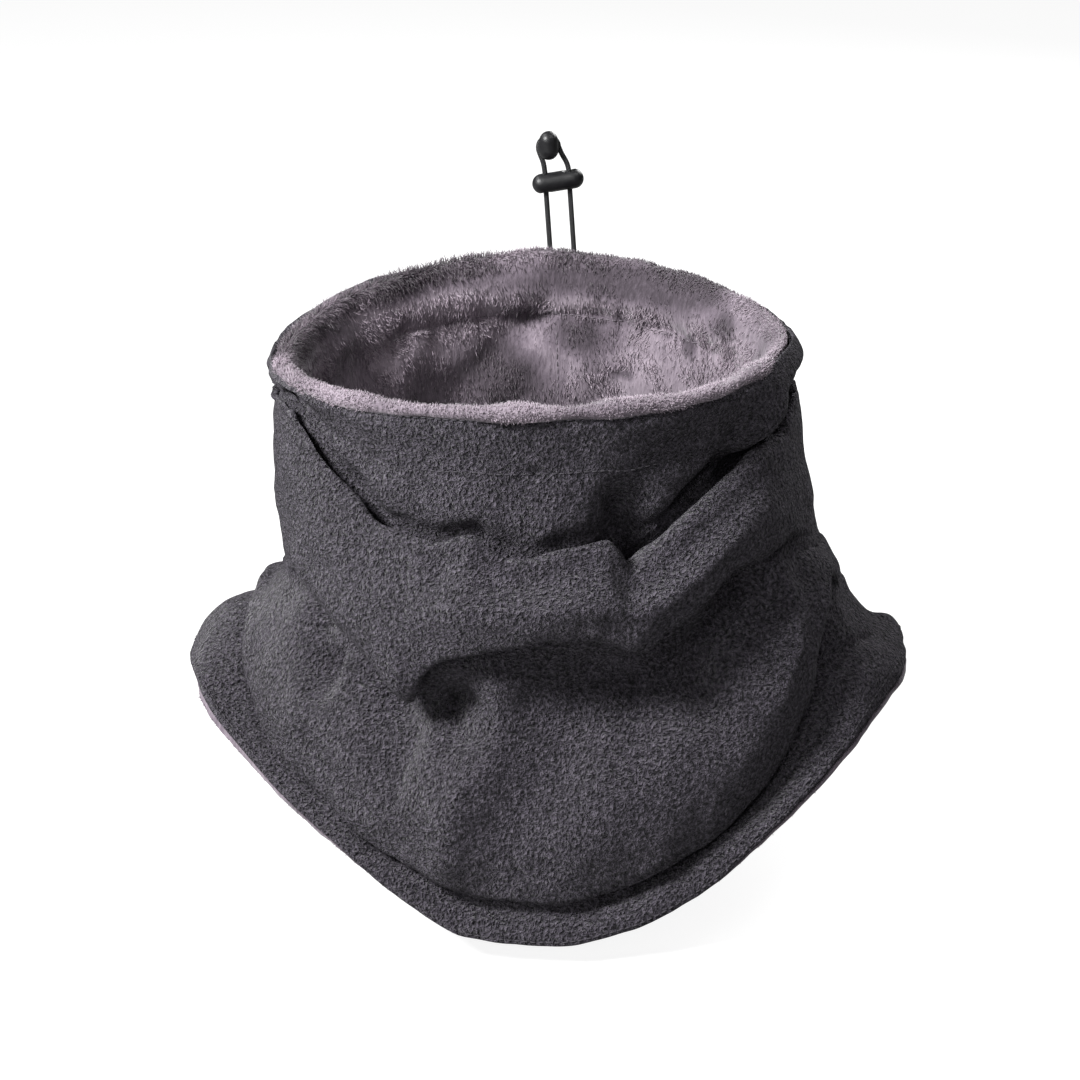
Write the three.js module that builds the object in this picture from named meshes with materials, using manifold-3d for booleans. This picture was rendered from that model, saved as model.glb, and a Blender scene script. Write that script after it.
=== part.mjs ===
// A fleece neck gaiter: a flared tube of two layers, an outer fleece shell and an inner plush
// lining that rolls out over the rim, with an elastic drawcord that runs in a casing under the rim
// and comes out at the back through two eyelets, as a loop with a sliding cord lock and a bead.
//
// Frame: millimetres, +Z up along the neck. The origin is the centre of the neck opening, level
// with the sides of the rim. The wearer faces -Y, so +X is the wearer's left.

import * as THREE from 'three';
import { ParametricGeometry } from 'three/addons/geometries/ParametricGeometry.js';
import { mergeVertices } from 'three/addons/utils/BufferGeometryUtils.js';
import Module from 'manifold-3d';

const wasm = await Module();
wasm.setup();

// Driving dimensions
const RIM_CENTRE_X = -2.4;
const RIM_FRONT_RISE = 2;
const RIM_BACK_RISE = 16;
const HEM_CENTRE_X = 3.5;
const HEM_SIDE_Z = -109;
const HEM_FRONT_DROP = 75;
const HEM_BACK_DROP = 62;
const HEM_TILT = 4;
const CASING_DEPTH = 24;

const SHELL_THICKNESS = 2.4;
const LINING_THICKNESS = 3.6;
const LAYER_GAP = 1.0;
const CASING_WIDTH = 4.4;
const LIP_HEIGHT = 6;
const HEM_LIP_DEPTH = 4;
const THREAD_DIAMETER = 0.4;
const CLEARANCE = 0.3;

const CORD_DIAMETER = 2.0;
const CORD_DROP = 12;
const EYELET_X = { left: 13.8, right: 4.4 };
const EYELET_FLANGE_RADIUS = 4;
const EYELET_BARREL_RADIUS = 2.1;
const EYELET_BORE_RADIUS = 1.7;
const EYELET_SHEET = 0.5;
const WASHER_THICKNESS = 0.4;

const STRAND_LEAN = 0.07;
const LOCK_CENTRE = new THREE.Vector3(6.9, 87, 46.1);
const LOCK_LENGTH = 20;
const LOCK_RADIUS = 3.9;
const LOCK_TILT = THREE.MathUtils.degToRad(9.5);
const LOCK_HOLE_RADIUS = 1.45;
const STRAND_SPACING = 9.2;
const BEAD_CENTRE = new THREE.Vector3(3.3, 86, 60.2);
const BEAD_RADIUS = 3.8;
const BEAD_LENGTH = 11.1;

const COLUMNS = 48;
const BACK = -Math.PI / 2;

// The outer face of the fleece, ring by ring from rim to hem: the drop below the rim and the share
// of the way from the foot of the casing to the hem, then the half-width, and the half-depths at
// the front and at the back.
const RINGS = [
  { drop: 0, share: 0, side: 94, front: 81, back: 79.5 },
  { drop: 8, share: 0, side: 92.5, front: 80, back: 79.8 },
  { drop: 16, share: 0, side: 92.5, front: 79.5, back: 80 },
  { drop: CASING_DEPTH, share: 0, side: 94, front: 81, back: 81 },
  { drop: CASING_DEPTH, share: 0.08, side: 97, front: 86, back: 84 },
  { drop: CASING_DEPTH, share: 0.2, side: 98.5, front: 93, back: 88 },
  { drop: CASING_DEPTH, share: 0.32, side: 98, front: 93.5, back: 90 },
  { drop: CASING_DEPTH, share: 0.42, side: 99, front: 96, back: 93 },
  { drop: CASING_DEPTH, share: 0.55, side: 103, front: 103, back: 97 },
  { drop: CASING_DEPTH, share: 0.68, side: 107, front: 106, back: 99 },
  { drop: CASING_DEPTH, share: 0.8, side: 112, front: 105, back: 99 },
  { drop: CASING_DEPTH, share: 0.9, side: 120, front: 102, back: 98 },
  { drop: CASING_DEPTH, share: 1, side: 130, front: 98, back: 96 },
];
const RIM = 0;
const HEM = RINGS.length - 1;

// Layers of the wall, as insets from the outer face of the fleece
const SHELL_INNER = SHELL_THICKNESS;
const LINING_OUTER = SHELL_INNER + LAYER_GAP;
const LINING_INNER = LINING_OUTER + LINING_THICKNESS;
const CASING_OUTER = SHELL_INNER + CASING_WIDTH;
const CASING_INNER = CASING_OUTER + LINING_THICKNESS;
const CORD_INSET = SHELL_INNER + 3;
const SEAM_INSET = SHELL_INNER + LAYER_GAP / 2;

const materials = {
  fleece: new THREE.MeshStandardMaterial({ color: 0x3e3c42, roughness: 0.95, metalness: 0 }),
  plush: new THREE.MeshStandardMaterial({ color: 0x675e66, roughness: 0.9, metalness: 0 }),
  cord: new THREE.MeshStandardMaterial({ color: 0x1b1b1d, roughness: 0.7, metalness: 0 }),
  plastic: new THREE.MeshStandardMaterial({ color: 0x18181a, roughness: 0.45, metalness: 0 }),
  eyelet: new THREE.MeshStandardMaterial({ color: 0x202023, roughness: 0.4, metalness: 0.8 }),
  thread: new THREE.MeshStandardMaterial({ color: 0x34323a, roughness: 0.8, metalness: 0 }),
};

function rimHeight(angle) {
  const rise = Math.sin(angle) > 0 ? RIM_FRONT_RISE : RIM_BACK_RISE;
  return rise * Math.sin(angle) ** 2;
}

function hemHeight(angle) {
  const drop = Math.sin(angle) > 0 ? HEM_FRONT_DROP : HEM_BACK_DROP;
  return HEM_SIDE_Z + HEM_TILT * Math.cos(angle) - drop * Math.sin(angle) ** 2;
}

// A point of the wall: the angle runs round from the wearer's left over the front, and a raise
// moves the point above the rim or below the hem.
function wallPoint(angle, ring, inset, raise = 0) {
  const depth = Math.sin(angle) > 0 ? ring.front : ring.back;
  const centreX = THREE.MathUtils.lerp(RIM_CENTRE_X, HEM_CENTRE_X, ring.share);
  const rim = rimHeight(angle);
  const length = rim - CASING_DEPTH - hemHeight(angle);
  return new THREE.Vector3(
    centreX + (ring.side - inset) * Math.cos(angle),
    -(depth - inset) * Math.sin(angle),
    rim - ring.drop - length * ring.share + raise,
  );
}

// A tube wall, closed round the gaiter and closed round its own section. Each entry of the section
// is a ring, an inset and a raise.
function wallGeometry(section) {
  const place = (u, v, target) => {
    const column = Math.round(u * COLUMNS) % COLUMNS;
    const [ring, inset, raise] = section[Math.round(v * section.length) % section.length];
    target.copy(wallPoint((column / COLUMNS) * 2 * Math.PI, ring, inset, raise));
  };
  return new ParametricGeometry(place, COLUMNS, section.length);
}

function toSolid(geometry, matrix = new THREE.Matrix4()) {
  const bare = geometry.clone().applyMatrix4(matrix);
  bare.deleteAttribute('normal');
  bare.deleteAttribute('uv');
  const merged = mergeVertices(bare);
  const vertProperties = new Float32Array(merged.attributes.position.array);
  const triVerts = new Uint32Array(merged.index.array);
  return new wasm.Manifold(new wasm.Mesh({ numProp: 3, vertProperties, triVerts }));
}

function toGeometry(solid) {
  const mesh = solid.getMesh();
  const geometry = new THREE.BufferGeometry();
  geometry.setAttribute('position', new THREE.BufferAttribute(mesh.vertProperties, 3));
  geometry.setIndex(new THREE.BufferAttribute(mesh.triVerts, 1));
  geometry.computeVertexNormals();
  return geometry;
}

// A round tube along a curve, with closed ends
function cordGeometry(curve, radius, steps, sides = 8) {
  const section = new THREE.Shape();
  for (let i = 0; i < sides; i += 1) {
    const angle = (i / sides) * 2 * Math.PI;
    const corner = [radius * Math.cos(angle), radius * Math.sin(angle)];
    if (i === 0) section.moveTo(...corner);
    else section.lineTo(...corner);
  }
  section.closePath();
  return new THREE.ExtrudeGeometry(section, { steps, extrudePath: curve });
}

const gaiter = new THREE.Group();

function addPart(name, geometry, material, parent = gaiter) {
  const mesh = new THREE.Mesh(geometry, material);
  mesh.name = name;
  parent.add(mesh);
  return mesh;
}

// Where an eyelet sits: a frame on the outer face at the back, its Y axis pointing outwards
function eyeletMatrix(x) {
  const ring = { ...RINGS[1], drop: CORD_DROP };
  const angle = -Math.acos((x - RIM_CENTRE_X) / ring.side);
  const position = wallPoint(angle, ring, 0);
  const step = 0.001;
  const along = wallPoint(angle + step, ring, 0).sub(wallPoint(angle - step, ring, 0));
  const outward = new THREE.Vector3(-along.y, along.x, 0).normalize();
  if (outward.y < 0) outward.negate();
  const turn = new THREE.Quaternion().setFromUnitVectors(new THREE.Vector3(0, 1, 0), outward);
  return new THREE.Matrix4().compose(position, turn, new THREE.Vector3(1, 1, 1));
}

const eyeletFrames = {
  left: eyeletMatrix(EYELET_X.left),
  right: eyeletMatrix(EYELET_X.right),
};

// The fleece shell, pierced for the two eyelet barrels
function buildShell() {
  const outer = RINGS.map((ring) => [ring, 0, 0]);
  const inner = RINGS.map((ring) => [ring, SHELL_INNER, 0]).reverse();
  let solid = toSolid(wallGeometry([...outer, ...inner]));
  const hole = new THREE.CylinderGeometry(
    EYELET_BARREL_RADIUS + CLEARANCE,
    EYELET_BARREL_RADIUS + CLEARANCE,
    SHELL_THICKNESS * 4,
    16,
  );
  for (const frame of Object.values(eyeletFrames)) {
    solid = solid.subtract(toSolid(hole, frame));
  }
  addPart('shell', toGeometry(solid), materials.fleece);
}

// The plush lining: bulged inwards over the casing, and rolled over the shell's two edges
function buildLining() {
  const belowCasing = RINGS.slice(4);
  const casing = [RINGS[1], RINGS[2]];
  const rim = RINGS[RIM];
  const hem = RINGS[HEM];
  const top = { ...rim, drop: 2.5 };
  const foot = { ...RINGS[3], drop: CASING_DEPTH - 1 };
  const outer = [
    [top, LINING_OUTER, 0],
    ...casing.map((ring) => [ring, CASING_OUTER, 0]),
    [foot, LINING_OUTER, 0],
    ...belowCasing.map((ring) => [ring, LINING_OUTER, 0]),
  ];
  const hemLip = [
    [hem, LINING_OUTER, -LAYER_GAP],
    [hem, 0.4, -LAYER_GAP],
    [hem, 0.8, -HEM_LIP_DEPTH * 0.7],
    [hem, LINING_OUTER, -HEM_LIP_DEPTH],
    [hem, LINING_INNER - 0.8, -HEM_LIP_DEPTH * 0.6],
  ];
  const inner = [
    ...belowCasing.map((ring) => [ring, LINING_INNER, 0]).reverse(),
    [foot, LINING_INNER, 0],
    ...casing.map((ring) => [ring, CASING_INNER, 0]).reverse(),
  ];
  const rimLip = [
    [rim, CASING_INNER - 0.8, 2],
    [rim, LINING_INNER, LIP_HEIGHT * 0.8],
    [rim, LINING_OUTER, LIP_HEIGHT],
    [rim, 0.8, LIP_HEIGHT * 0.8],
    [rim, -0.6, LIP_HEIGHT * 0.5],
    [rim, 0, LAYER_GAP],
    [rim, LINING_OUTER, LAYER_GAP],
  ];
  addPart('lining', wallGeometry([...outer, ...hemLip, ...inner, ...rimLip]), materials.plush);
}

// A thread laid round the gaiter: a thin closed ring that follows the wall
function threadRing(name, ring, inset, raise) {
  const sides = 5;
  const place = (u, v, target) => {
    const column = Math.round(u * COLUMNS) % COLUMNS;
    const turn = (-(Math.round(v * sides) % sides) / sides) * 2 * Math.PI;
    const out = (THREAD_DIAMETER / 2) * Math.cos(turn);
    const up = (THREAD_DIAMETER / 2) * Math.sin(turn);
    const angle = (column / COLUMNS) * 2 * Math.PI;
    target.copy(wallPoint(angle, ring, inset - out, raise + up));
  };
  addPart(name, new ParametricGeometry(place, COLUMNS, sides), materials.thread);
}

// A thread down the centre back, in the gap between the two layers
function threadDown(name, rings, angle, inset) {
  const points = rings.map((ring) => wallPoint(angle, ring, inset));
  const path = new THREE.CurvePath();
  for (let i = 1; i < points.length; i += 1) {
    path.add(new THREE.LineCurve3(points[i - 1], points[i]));
  }
  addPart(name, cordGeometry(path, THREAD_DIAMETER / 2, 36, 5), materials.thread);
}

function buildThreads() {
  const stitchRing = { ...RINGS[3], drop: CASING_DEPTH - 3 };
  const proud = THREAD_DIAMETER / 2 + CLEARANCE;
  threadRing('rim_seam_thread', RINGS[RIM], SHELL_THICKNESS / 2, LAYER_GAP / 2);
  threadRing('hem_seam_thread', RINGS[HEM], SHELL_THICKNESS / 2, -LAYER_GAP / 2);
  threadRing('casing_thread_outer', RINGS[3], -proud, 0);
  threadRing('casing_thread_inner', stitchRing, CASING_INNER + proud, 0);
  const low = RINGS.slice(4, HEM);
  const columnStep = (2 * Math.PI) / COLUMNS;
  threadDown('shell_seam_thread', low, BACK + 2 * columnStep, SEAM_INSET);
  threadDown('lining_seam_thread', low, BACK + columnStep, SEAM_INSET);
}

// An eyelet and the washer that it is set against, on one frame. The profiles run round the
// section with the radius as x and the height above the fleece as y.
function buildEyelet(side) {
  const seat = new THREE.Group();
  seat.applyMatrix4(eyeletFrames[side]);
  gaiter.add(seat);
  const top = CLEARANCE + EYELET_SHEET;
  const back = -SHELL_THICKNESS - CLEARANCE - WASHER_THICKNESS - CLEARANCE;
  const eyelet = [
    [EYELET_BORE_RADIUS, back - EYELET_SHEET * 0.4],
    [EYELET_BARREL_RADIUS + 0.5, back - EYELET_SHEET * 0.4],
    [EYELET_BARREL_RADIUS + 0.5, back],
    [EYELET_BARREL_RADIUS, back],
    [EYELET_BARREL_RADIUS, CLEARANCE],
    [EYELET_FLANGE_RADIUS, CLEARANCE],
    [EYELET_FLANGE_RADIUS - 0.2, top - 0.15],
    [EYELET_FLANGE_RADIUS - 1.2, top],
    [EYELET_BORE_RADIUS + 0.3, top],
    [EYELET_BORE_RADIUS, top - 0.2],
  ];
  const washer = [
    [EYELET_BARREL_RADIUS + CLEARANCE, back + CLEARANCE],
    [EYELET_FLANGE_RADIUS, back + CLEARANCE],
    [EYELET_FLANGE_RADIUS, back + CLEARANCE + WASHER_THICKNESS],
    [EYELET_BARREL_RADIUS + CLEARANCE, back + CLEARANCE + WASHER_THICKNESS],
  ];
  addPart(`eyelet_${side}`, ringGeometry(eyelet), materials.eyelet, seat);
  addPart(`eyelet_washer_${side}`, ringGeometry(washer), materials.eyelet, seat);
}

function ringGeometry(profile) {
  const points = [...profile, profile[0]].map(([radius, height]) => {
    return new THREE.Vector2(radius, height);
  });
  return new THREE.LatheGeometry(points, 24);
}

// The stretch of drawcord that the casing holds: out of one eyelet's bore, round the front, and
// into the other's. It is one elastic cord with the free loop.
function buildDrawcordRing() {
  const ring = { ...RINGS[1], drop: CORD_DROP };
  const turnIn = 3;
  const ends = (side, away) => {
    const flange = CLEARANCE + EYELET_SHEET;
    const inside = [flange, -1.4, -2.9].map((height) => new THREE.Vector3(0, height, 0));
    const bend = new THREE.Vector3(away * 0.8, -CORD_INSET + 0.6, 0);
    return [...inside, bend].map((point) => point.applyMatrix4(eyeletFrames[side]));
  };
  const angleOf = (x) => -Math.acos((x - RIM_CENTRE_X) / ring.side);
  const first = angleOf(EYELET_X.left) + turnIn / ring.side;
  const last = angleOf(EYELET_X.right) - turnIn / ring.side + 2 * Math.PI;
  const count = 36;
  const round = [];
  for (let i = 0; i <= count; i += 1) {
    round.push(wallPoint(first + ((last - first) * i) / count, ring, CORD_INSET));
  }
  const points = [...ends('left', 1), ...round, ...ends('right', -1).reverse()];
  const curve = new THREE.CatmullRomCurve3(points, false, 'centripetal');
  addPart('drawcord_ring', cordGeometry(curve, CORD_DIAMETER / 2, 80), materials.cord);
}

// The free loop of the drawcord, from eyelet to eyelet: out and up behind the rim, straight
// through the cord lock, and over the back of the bead
const LOOP_ROUTE = [
  [4.5, 80.9, 3.9],
  [4.6, 82.3, 3.9],
  [4.7, 84.3, 4.5],
  [4.8, 86.1, 6.2],
  [4.75, 86.9, 8.8],
  [4.4, 87, 12.5],
  [3.7, 87, 22.5],
  [3, 87, 32.5],
  [2.3, 87, 42.5],
  [1.7, 87, 51],
  [1.1, 87.1, 53.8],
  [0.1, 87.3, 56.4],
  [-0.6, 87.9, 59],
  [0.2, 88.6, 61.4],
  [3.3, 89, 63],
  [6.4, 88.6, 61.4],
  [7.3, 87.9, 59],
  [8.5, 87.3, 56.4],
  [10, 87.1, 53.8],
  [10.9, 87, 51],
  [11.5, 87, 42.5],
  [12.2, 87, 32.5],
  [12.9, 87, 22.5],
  [13.6, 87, 12.5],
  [13.9, 86.9, 8.8],
  [14.1, 86, 6],
  [14.15, 84.2, 4.2],
  [14.1, 82, 3.5],
  [14, 79.9, 3.5],
].map((point) => new THREE.Vector3(...point));

const loopCurve = new THREE.CatmullRomCurve3(LOOP_ROUTE, false, 'centripetal');

function buildDrawcordLoop() {
  addPart('drawcord_loop', cordGeometry(loopCurve, CORD_DIAMETER / 2, 56), materials.cord);
}

// The bean-shaped cord lock: two holes along the strands, through a rounded bar
function buildCordLock() {
  const bar = new THREE.CapsuleGeometry(LOCK_RADIUS, LOCK_LENGTH - 2 * LOCK_RADIUS, 5, 20);
  const tilt = new THREE.Matrix4().makeRotationY(-LOCK_TILT);
  const lay = new THREE.Matrix4().makeRotationZ(Math.PI / 2);
  const place = new THREE.Matrix4().makeTranslation(LOCK_CENTRE);
  let solid = toSolid(bar, place.clone().multiply(tilt).multiply(lay));
  const strand = new THREE.Vector3(-STRAND_LEAN, 0, 1).normalize();
  const along = new THREE.Quaternion().setFromUnitVectors(new THREE.Vector3(0, 1, 0), strand);
  const drill = new THREE.CylinderGeometry(LOCK_HOLE_RADIUS, LOCK_HOLE_RADIUS, 30, 20);
  for (const sign of [-1, 1]) {
    const hole = LOCK_CENTRE.clone();
    hole.x += (sign * STRAND_SPACING) / 2 - 0.25;
    const matrix = new THREE.Matrix4().compose(hole, along, new THREE.Vector3(1, 1, 1));
    solid = solid.subtract(toSolid(drill, matrix));
  }
  addPart('cord_lock', toGeometry(solid), materials.plastic);
}

// The bead at the loop's end, with a groove that the cord lies in
function buildLoopBead() {
  const body = new THREE.CapsuleGeometry(BEAD_RADIUS, BEAD_LENGTH - 2 * BEAD_RADIUS, 6, 20);
  const upright = new THREE.Matrix4().makeRotationX(Math.PI / 2);
  const place = new THREE.Matrix4().makeTranslation(BEAD_CENTRE);
  const bead = toSolid(body, place.clone().multiply(upright));
  const arch = new THREE.CatmullRomCurve3(LOOP_ROUTE.slice(9, 20), false, 'centripetal');
  const groove = cordGeometry(arch, CORD_DIAMETER / 2 + CLEARANCE, 30, 12);
  addPart('loop_bead', toGeometry(bead.subtract(toSolid(groove))), materials.plastic);
}

buildShell();
buildLining();
buildThreads();
buildEyelet('left');
buildEyelet('right');
buildDrawcordRing();
buildDrawcordLoop();
buildCordLock();
buildLoopBead();

export default gaiter;
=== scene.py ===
"""Looks for the neck gaiter: fleece shell, plush lining, stitches, drawcord, cord lock and bead.

The cloth is a sewn tube, built on a grid of columns round the neck and rows down it. Its folds are
paths round the tube, where the cloth turns back under a lip. Cloth is worked out in millimetres in
the part's own frame, and the meshes made from it are in metres.
"""

import math

import bpy
import numpy as np
from mathutils import Matrix, Vector, noise


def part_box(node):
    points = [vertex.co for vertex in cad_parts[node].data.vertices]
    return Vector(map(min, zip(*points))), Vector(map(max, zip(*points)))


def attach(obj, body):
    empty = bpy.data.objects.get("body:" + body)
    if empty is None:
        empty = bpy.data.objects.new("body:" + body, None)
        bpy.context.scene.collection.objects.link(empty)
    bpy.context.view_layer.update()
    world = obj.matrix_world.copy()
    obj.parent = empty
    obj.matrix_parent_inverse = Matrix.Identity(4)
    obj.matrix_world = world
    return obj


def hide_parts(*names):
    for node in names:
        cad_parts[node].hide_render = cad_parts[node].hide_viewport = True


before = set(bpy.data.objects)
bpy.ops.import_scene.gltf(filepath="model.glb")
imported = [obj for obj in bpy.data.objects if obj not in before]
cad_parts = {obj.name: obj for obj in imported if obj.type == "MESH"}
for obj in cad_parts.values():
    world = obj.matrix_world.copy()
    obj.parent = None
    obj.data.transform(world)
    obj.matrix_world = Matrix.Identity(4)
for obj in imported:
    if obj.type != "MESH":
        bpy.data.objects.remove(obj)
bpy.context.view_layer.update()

SEED = 7
rng = np.random.default_rng(SEED)
noise.seed_set(SEED)

MM = 0.001
TAU = 2 * math.pi

# ------------------------ camera, light and floor

CAMERA_TILT = math.radians(20)
CAMERA_DISTANCE = 1.1
VIEW_WIDTH = 0.3996
AIM_Z = -0.069
SENSOR_WIDTH = 36

# Area lights: name, place, the point it faces, size and power
LIGHTS = [
    ("key", (-0.9, -0.6, 0.9), (0, 0, -0.08), 0.35, 46),
    ("fill", (-0.4, -1.15, 0.42), (0, 0, -0.09), 0.5, 2.8),
    ("top_light", (0.5, -0.2, 1.05), (0, 0, -0.06), 0.4, 3.5),
    ("back_light", (-0.7, 0.4, 0.9), (0, 0, -0.03), 0.4, 4),
    ("rear", (0.6, 1.1, 0.6), (0, 0, -0.08), 0.5, 12),
]
AMBIENT = 0.045
FLOOR_REACH = 6
FLOOR_GAP = 0.001
FLOOR_GLOW = 0.88


def link(obj):
    bpy.context.scene.collection.objects.link(obj)
    return obj


def make_camera():
    data = bpy.data.cameras.new("camera")
    data.sensor_width = SENSOR_WIDTH
    data.lens = SENSOR_WIDTH * CAMERA_DISTANCE / VIEW_WIDTH
    camera = link(bpy.data.objects.new("camera", data))
    camera.location = (
        0,
        -CAMERA_DISTANCE * math.cos(CAMERA_TILT),
        AIM_Z + CAMERA_DISTANCE * math.sin(CAMERA_TILT),
    )
    camera.rotation_euler = (math.pi / 2 - CAMERA_TILT, 0, 0)
    bpy.context.scene.camera = camera


def area_light(name, location, target, size, power):
    data = bpy.data.lights.new(name, "AREA")
    data.size = size
    data.energy = power
    light = link(bpy.data.objects.new(name, data))
    light.location = location
    aim = Vector(target) - Vector(location)
    light.rotation_euler = aim.to_track_quat("-Z", "Y").to_euler()


def make_studio():
    world = bpy.data.worlds.new("studio")
    world.use_nodes = True
    tree = world.node_tree
    seen = node(tree, "ShaderNodeLightPath").outputs["Is Camera Ray"]
    white = {"Color": (1, 1, 1, 1), "Strength": spread(tree, seen, AMBIENT, 1)}
    feed(tree, tree.nodes["Background"], white)
    bpy.context.scene.world = world
    bpy.context.scene.view_settings.view_transform = "Standard"
    for light in LIGHTS:
        area_light(*light)
    far = FLOOR_REACH
    corners = [(-far, -far, 0), (far, -far, 0), (far, far, 0), (-far, far, 0)]
    floor_mesh = bpy.data.meshes.new("floor")
    floor_mesh.from_pydata(corners, [], [(0, 1, 2, 3)])
    floor_mesh.materials.append(floor_material())
    floor = link(bpy.data.objects.new("floor", floor_mesh))
    floor.location.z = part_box("lining")[0][2] - FLOOR_GAP


def floor_material():
    """A pale floor: it glows a little, so that the piece's own shadow on it stays faint."""
    material, tree, shader = shader_tree("pale_floor")
    seen = node(tree, "ShaderNodeLightPath").outputs["Is Camera Ray"]
    looks = {
        "Base Color": (0.25, 0.25, 0.25, 1),
        "Roughness": 0.9,
        "Emission Color": (1, 1, 1, 1),
        "Emission Strength": spread(tree, seen, 0, FLOOR_GLOW),
    }
    feed(tree, shader, looks)
    return material


# ------------------------ materials


def shader_tree(name):
    material = bpy.data.materials.new(name)
    material.use_nodes = True
    return material, material.node_tree, material.node_tree.nodes["Principled BSDF"]


def feed(tree, made, inputs):
    """Sets a node's inputs, each to a value or from the socket that feeds it."""
    for key, value in inputs.items():
        if isinstance(value, bpy.types.NodeSocket):
            tree.links.new(value, made.inputs[key])
        else:
            made.inputs[key].default_value = value


def node(tree, kind, inputs=None, **settings):
    made = tree.nodes.new(kind)
    for key, value in settings.items():
        setattr(made, key, value)
    feed(tree, made, inputs or {})
    return made


def ramp(tree, factor, stops):
    """A colour ramp, its stops as (position, linear colour)."""
    made = node(tree, "ShaderNodeValToRGB", {"Fac": factor})
    elements = made.color_ramp.elements
    while len(elements) < len(stops):
        elements.new(0.5)
    for element, (position, colour) in zip(elements, stops):
        element.position = position
        element.color = (*colour, 1)
    return made.outputs["Color"]


def math_node(tree, operation, *values):
    inputs = dict(enumerate(values))
    return node(tree, "ShaderNodeMath", inputs, operation=operation).outputs["Value"]


def places(tree):
    """Places on the piece itself, in metres."""
    return node(tree, "ShaderNodeTexCoord").outputs["Object"]


def grain(tree, place, scale, detail, roughness=0.5, distortion=0.0):
    """Noise from 0 to 1."""
    inputs = {
        "Vector": place,
        "Scale": scale,
        "Detail": detail,
        "Roughness": roughness,
        "Distortion": distortion,
    }
    return node(tree, "ShaderNodeTexNoise", inputs).outputs["Fac"]


def spread(tree, value, low, high):
    """A value from 0 to 1, spread out from low to high."""
    inputs = {"Value": value, "To Min": low, "To Max": high}
    return node(tree, "ShaderNodeMapRange", inputs).outputs["Result"]


def bump(tree, height, strength, distance):
    inputs = {"Height": height, "Strength": strength, "Distance": distance}
    return node(tree, "ShaderNodeBump", inputs).outputs["Normal"]


def fleece_material():
    """Polar fleece: matted curls a millimetre or so across, with the gaps between them painted dark
    as shade.
    """
    material, tree, shader = shader_tree("fleece_cloth")
    place = places(tree)
    curls = grain(tree, place, 780, 2.2, 0.6, 0.4)
    nubs = node(tree, "ShaderNodeTexVoronoi", {"Vector": place, "Scale": 1100})
    height = math_node(tree, "MULTIPLY_ADD", nubs.outputs["Distance"], -0.12, curls)
    patches = grain(tree, place, 45, 3)
    tone = math_node(tree, "MULTIPLY_ADD", patches, 0.1, height)
    # The colour follows the curls' height: low places get a darker colour, painted shade on top of
    # the bump's own shading.
    stops = [
        (0.33, (0.0115, 0.0102, 0.0138)),
        (0.5, (0.0575, 0.0505, 0.0655)),
        (0.66, (0.129, 0.115, 0.142)),
    ]
    looks = {
        "Base Color": ramp(tree, tone, stops),
        "Roughness": 0.95,
        "Specular IOR Level": 0.15,
        "Sheen Weight": 0.1,
        "Sheen Roughness": 0.4,
        "Normal": bump(tree, height, 1.0, 0.008),
    }
    feed(tree, shader, looks)
    return material


def plush_material():
    """The plush's ground under its pile: mauve-grey, with lighter and darker patches from brushing,
    and painted shade in the folds of its back wall.
    """
    material, tree, shader = shader_tree("plush_ground")
    stretched = node(tree, "ShaderNodeMapping", {"Vector": places(tree), "Scale": (1, 1, 0.25)})
    streaks = grain(tree, stretched.outputs["Vector"], 700, 4, 0.6)
    # The tone of the pile's brushing, with painted shade in the back wall's folds.
    stroked_and_shaded = node(tree, "ShaderNodeAttribute", attribute_name="brushed_and_shaded").outputs["Fac"]
    tone = math_node(tree, "MULTIPLY_ADD", streaks, 0.55, math_node(tree, "MULTIPLY", stroked_and_shaded, 0.6))
    stops = [(0.25, (0.05, 0.04, 0.05)), (0.55, (0.13, 0.106, 0.13)), (0.8, (0.26, 0.219, 0.256))]
    looks = {
        "Base Color": ramp(tree, tone, stops),
        "Roughness": 0.85,
        "Specular IOR Level": 0.2,
        "Sheen Weight": 0.3,
        "Normal": bump(tree, streaks, 0.8, 0.0012),
    }
    feed(tree, shader, looks)
    return material


def pile_material(name, colour):
    """One tone of the plush's pile: each fibre is too thin to carry a pattern."""
    material, tree, shader = shader_tree(name)
    looks = {
        "Base Color": (*colour, 1),
        "Roughness": 0.7,
        "Specular IOR Level": 0.3,
        "Sheen Weight": 0.3,
    }
    feed(tree, shader, looks)
    return material


def moulded_material():
    """Black moulded plastic with a fine spark-eroded grain."""
    material, tree, shader = shader_tree("moulded_black")
    place = places(tree)
    wear = grain(tree, place, 260, 4)
    stops = [(0.3, (0.006, 0.006, 0.007)), (0.7, (0.013, 0.013, 0.014))]
    looks = {
        "Base Color": ramp(tree, wear, stops),
        "Roughness": spread(tree, wear, 0.32, 0.5),
        "Specular IOR Level": 0.4,
        "Normal": bump(tree, grain(tree, place, 2500, 2), 0.35, 0.0002),
    }
    feed(tree, shader, looks)
    return material


def cord_material():
    """Black braided elastic: two sets of diagonal yarns that cross."""
    material, tree, shader = shader_tree("braided_cord")
    place = places(tree)
    yarns = []
    for lean in (0.85, -0.85):
        turned_place = node(tree, "ShaderNodeMapping", {"Vector": place, "Rotation": (0, lean, 0)})
        inputs = {"Vector": turned_place.outputs["Vector"], "Scale": 420, "Distortion": 0.6}
        waves = node(tree, "ShaderNodeTexWave", inputs, bands_direction="Z")
        yarns.append(waves.outputs["Fac"])
    height = math_node(tree, "MAXIMUM", *yarns)
    stops = [(0.35, (0.004, 0.004, 0.005)), (0.95, (0.016, 0.016, 0.018))]
    looks = {
        "Base Color": ramp(tree, height, stops),
        "Roughness": 0.6,
        "Normal": bump(tree, height, 0.8, 0.0003),
    }
    feed(tree, shader, looks)
    return material


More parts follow.
